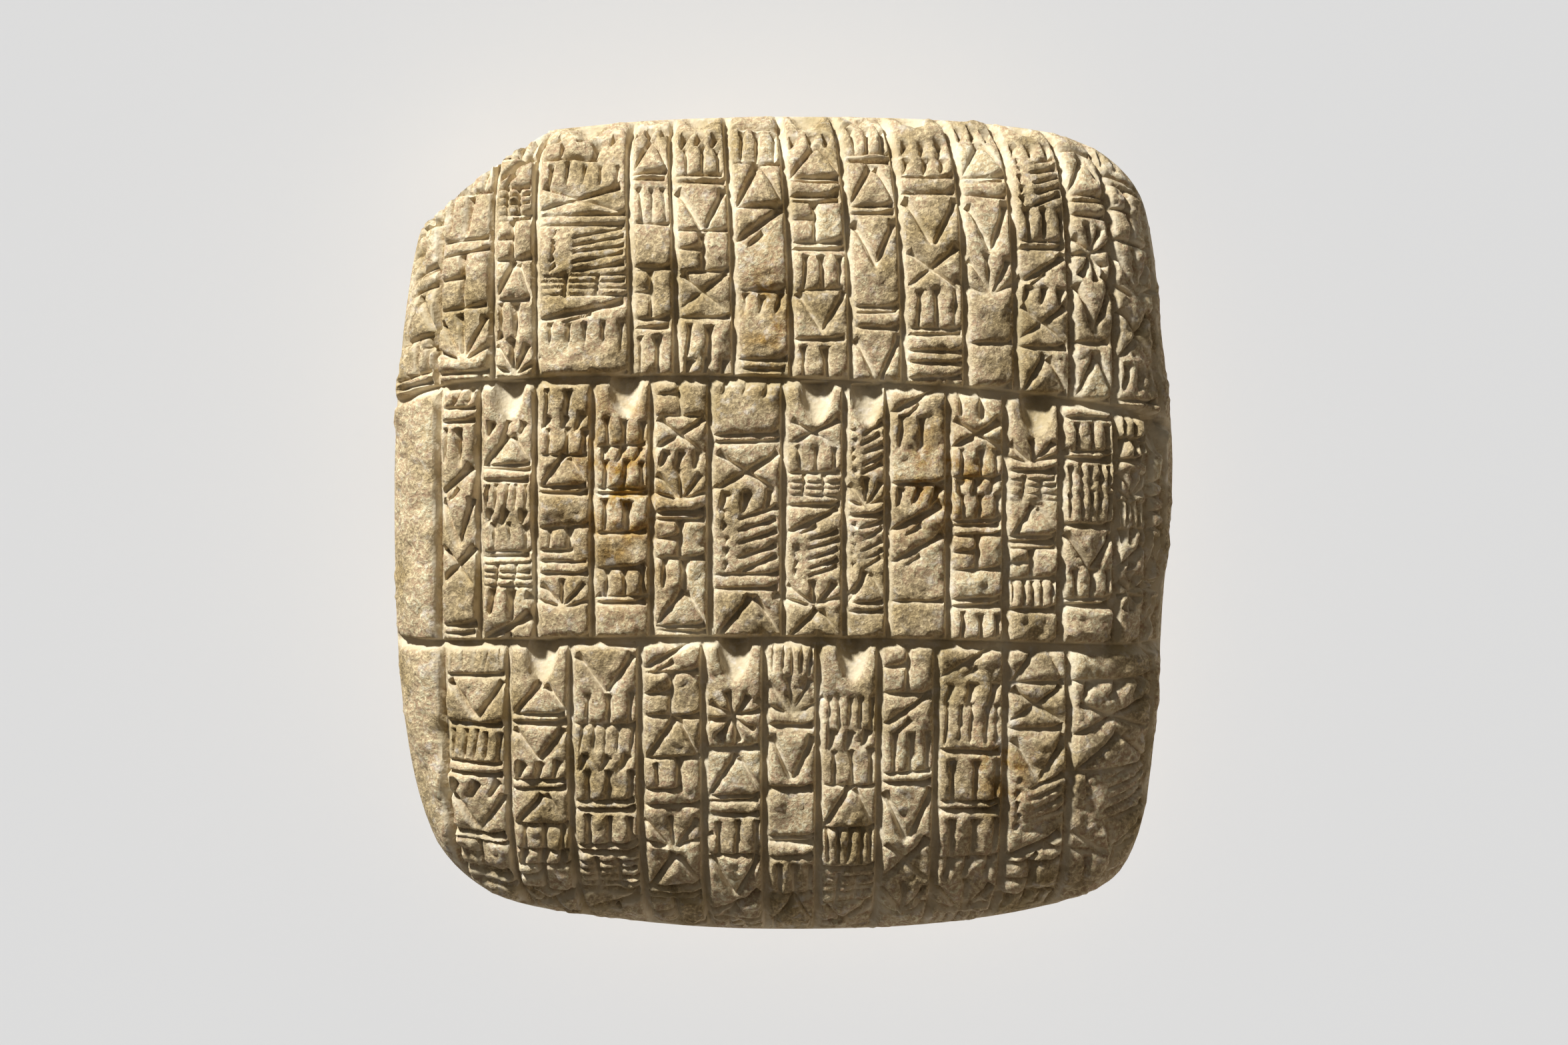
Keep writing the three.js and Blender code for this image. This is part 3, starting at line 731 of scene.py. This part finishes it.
points = read_points(tablet)
x, y, on_face = page_of(points)
depth_here = np.where(on_face, sample(face_depth, x, y), sample(back_depth, -x, y))
pressed_here = np.clip(depth_here / CLEARLY_PRESSED, 0, 1)
deep_here = np.clip(depth_here / DEEPEST_MARK, 0, 1)
stain_here = np.zeros(len(points))
for middle_x, middle_y, half_width, half_height in STAINS:
    off = ((x - middle_x) / half_width) ** 2 + ((y - middle_y) / half_height) ** 2
    stain_here = np.maximum(stain_here, np.where(on_face, np.exp(-off), 0))
marks = tablet.data.attributes.new("marks", "FLOAT_COLOR", "POINT")
marks.data.foreach_set("color", np.stack(
    [pressed_here, deep_here, stain_here, np.ones(len(points))], axis=1).ravel())
print("marked", len(points), "points")

# %% [markdown]
# The crusted skin and the faceted solid differ by a few tenths of a millimetre at their outsides. The skin is
# scaled a little along each axis, so that it fills the solid's box and never passes it.

# %% Fit the skin to the solid's box
smallest, largest = points.min(axis=0), points.max(axis=0)
box_low, box_high = np.array(low) / MM, np.array(high) / MM
write_points(tablet, box_low + (points - smallest) / (largest - smallest) * (box_high - box_low))
print("fitted by", np.round((box_high - box_low) / (largest - smallest), 4))

# %% [markdown]
# ## Sun-dried clay
# River clay dries to a pale buff. It is dead matt, with a fine sandy tooth. Noise of a few real sizes in
# mm gives the slow mottling, the grains of its crust and the tooth. A painted texture would need its own
# unwrapping and would blur close up, while noise in the clay's own space stays sharp.


# %% The clay material's helpers
def linear(colour):
    """An sRGB hex colour as linear light."""
    parts = [int(colour[i:i + 2], 16) / 255 for i in (1, 3, 5)]
    return [p / 12.92 if p <= 0.04045 else ((p + 0.055) / 1.055) ** 2.4 for p in parts] + [1]


def node(tree, kind, links=None, **settings):
    """Adds one node with its settings, its input values and its links."""
    made = tree.nodes.new(kind)
    for key, value in settings.items():
        if key in made.inputs:
            made.inputs[key].default_value = value
        else:
            setattr(made, key, value)
    for socket, source in (links or {}).items():
        tree.links.new(source, made.inputs[socket])
    return made


clay = bpy.data.materials.new("sun_dried_river_clay")
clay.use_nodes = True
tree = clay.node_tree
tree.nodes.clear()
place = node(tree, "ShaderNodeTexCoord").outputs["Object"]


def lumps_of(size_mm, detail=3.0, rough_share=0.5):
    made = node(tree, "ShaderNodeTexNoise", {"Vector": place}, Scale=1 / (size_mm * MM), Detail=detail,
                Roughness=rough_share)
    return made.outputs["Fac"]


def ramp(source, stops):
    made = node(tree, "ShaderNodeValToRGB", {"Fac": source})
    elements = made.color_ramp.elements
    while len(elements) < len(stops):
        elements.new(0.5)
    for element, (position, colour) in zip(elements, stops):
        element.position = position
        element.color = linear(colour)
    return made.outputs["Color"]


def mixed(factor, first, second, blend="MIX"):
    made = node(tree, "ShaderNodeMix", data_type="RGBA", blend_type=blend)
    if isinstance(factor, float):
        made.inputs[0].default_value = factor
    else:
        tree.links.new(factor, made.inputs[0])
    for socket, value in ((made.inputs[6], first), (made.inputs[7], second)):
        if isinstance(value, str):
            socket.default_value = linear(value)
        else:
            tree.links.new(value, socket)
    return made.outputs[2]


# %% The clay's own colour
mottle = ramp(lumps_of(7.0), [(0.32, "#a99773"), (0.5, "#c4b497"), (0.68, "#d4c7ad")])
grains = ramp(lumps_of(0.5, 5.0, 0.7), [(0.36, "#6f624c"), (0.5, "#a89d8a"), (0.62, "#e9e2d4")])
attribute = node(tree, "ShaderNodeAttribute", attribute_name="marks", attribute_type="GEOMETRY")
channels = node(tree, "ShaderNodeSeparateColor", {"Color": attribute.outputs["Color"]})
pressed_mask, depth_mask, stain_mask = (channels.outputs[i] for i in range(3))
crust = mixed(0.62, mottle, grains, "OVERLAY")
bare_clay = mixed(pressed_mask, crust, mottle)

# %% [markdown]
# Rust from the ground tints a few patches, salts bloom pale over others, and painted shade darkens the
# deepest strokes. Each is a soft patch of noise held inside a second mask, laid over the clay's colour.


# %% Rust, salts and painted shade in the strokes
def patch(rising, mask, low, high):
    """A soft-edged patch where a value rises from low to high, held inside a mask."""
    step = node(tree, "ShaderNodeMapRange", {"Value": rising}, **{"From Min": low, "From Max": high})
    return node(tree, "ShaderNodeMath", {0: step.outputs["Result"], 1: mask}, operation="MULTIPLY").outputs[0]


rust = patch(lumps_of(2.6, 5.0, 0.6), stain_mask, 0.42, 0.62)
salt = patch(lumps_of(1.4, 4.0, 0.6), lumps_of(14.0), 0.56, 0.7)
# Painted shade: the deeper a stroke is pressed, the darker its colour is made.
painted_stroke_shade = patch(depth_mask, lumps_of(1.1, 4.0, 0.6), 0.4, 1.0)
rusty = mixed(rust, bare_clay, "#cdb066", "MULTIPLY")
salted = mixed(salt, rusty, "#d9d0c4")
# The painted shade of the deep strokes is multiplied over the clay's colour here.
colour = mixed(painted_stroke_shade, salted, "#5d4a30", "MULTIPLY")

# %% [markdown]
# The tooth is too fine for the mesh, so it is bump: uneven lumps of half a millimetre, and sand grains over
# them. The reed pressed it flat, so the bump is weak where the clay was pressed.

# %% The clay's tooth
tooth_strength = node(tree, "ShaderNodeMapRange", {"Value": pressed_mask}, **{"To Min": 1.0, "To Max": 0.3})
tooth = node(tree, "ShaderNodeBump", {
    "Height": lumps_of(0.5, 5.0, 0.7), "Strength": tooth_strength.outputs["Result"],
}, Distance=0.45 * MM)
grit = node(tree, "ShaderNodeTexVoronoi", {"Vector": place}, Scale=1 / (0.55 * MM))
sand = node(tree, "ShaderNodeBump", {
    "Height": grit.outputs["Distance"], "Normal": tooth.outputs["Normal"],
}, Strength=0.5, Distance=0.12 * MM)
surface = node(tree, "ShaderNodeBsdfPrincipled", {
    "Base Color": colour, "Normal": sand.outputs["Normal"],
}, Roughness=0.95, **{"Specular IOR Level": 0.2})
node(tree, "ShaderNodeOutputMaterial", {"Surface": surface.outputs["BSDF"]})
tablet.data.materials.clear()
tablet.data.materials.append(clay)

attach(tablet, "root")
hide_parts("tablet")

# %% [markdown]
# ## Floor, light and camera
# The tablet lies on a pale floor, seen from straight above. A low light from the upper left rakes over
# the face, because flat light hides pressed signs. A weak warm fill opens the shaded rim. Each lamp reaches,
# and is blocked by, one thing only, so no lamp throws the tablet's shadow and the floor stays even. The price
# is that the tablet seems to hover when it is seen from low down.

# %% The floor
deselect()
bpy.ops.mesh.primitive_plane_add(size=3.0, location=(0, 0, -0.0002))
floor = bpy.context.object
floor.name = "pale_floor"
paper = bpy.data.materials.new("pale_board")
paper.use_nodes = True
paper.node_tree.nodes["Principled BSDF"].inputs["Base Color"].default_value = linear("#e2e2e2")
paper.node_tree.nodes["Principled BSDF"].inputs["Roughness"].default_value = 0.9
floor.data.materials.append(paper)

# %% The camera
VIEW_WIDTH = 193.0 * MM
LENS, SENSOR = 120.0, 36.0
camera_data = bpy.data.cameras.new("camera")
camera_data.lens = LENS
camera_data.sensor_width = SENSOR
camera = bpy.data.objects.new("camera", camera_data)
bpy.context.collection.objects.link(camera)
camera.location = (0, 0, VIEW_WIDTH * LENS / SENSOR + MIDDLE_Z * MM)
bpy.context.scene.camera = camera


# %% The lights
def lamp(name, azimuth, elevation, distance, size, power, colour="#ffffff"):
    """A square area light aimed at the tablet; azimuth counts from +X towards +Y."""
    data = bpy.data.lights.new(name, "AREA")
    data.size = size
    data.energy = power
    data.color = linear(colour)[:3]
    made = bpy.data.objects.new(name, data)
    bpy.context.collection.objects.link(made)
    a, e = math.radians(azimuth), math.radians(elevation)
    made.location = (distance * math.cos(e) * math.cos(a), distance * math.cos(e) * math.sin(a),
                     distance * math.sin(e))
    made.rotation_euler = (math.pi / 2 - e, 0, a + math.pi / 2)
    return made


def light_only(light, thing):
    """Keeps a light's effect to one thing."""
    group = bpy.data.collections.new(light.name + "_lights")
    group.objects.link(thing)
    light.light_linking.receiver_collection = group
    light.light_linking.blocker_collection = group


key = lamp("key", 126, 26, 1.0, 0.09, 22.5, "#f8faf8")
fill = lamp("fill", -50, 24, 1.2, 0.9, 2.0, "#ffe6c4")
sky = lamp("sky", 100, 80, 1.2, 1.2, 1.0, "#f8f6f0")
wash = lamp("floor_wash", 0, 89.9, 2.0, 2.4, 51)
light_only(key, tablet)
light_only(fill, tablet)
light_only(sky, tablet)
light_only(wash, floor)
world = bpy.data.worlds.new("soft_room")
bpy.context.scene.world = world
world.use_nodes = True
world.node_tree.nodes["Background"].inputs["Color"].default_value = linear("#f6f6f4")
world.node_tree.nodes["Background"].inputs["Strength"].default_value = 0.07
bpy.context.scene.view_settings.view_transform = "Standard"
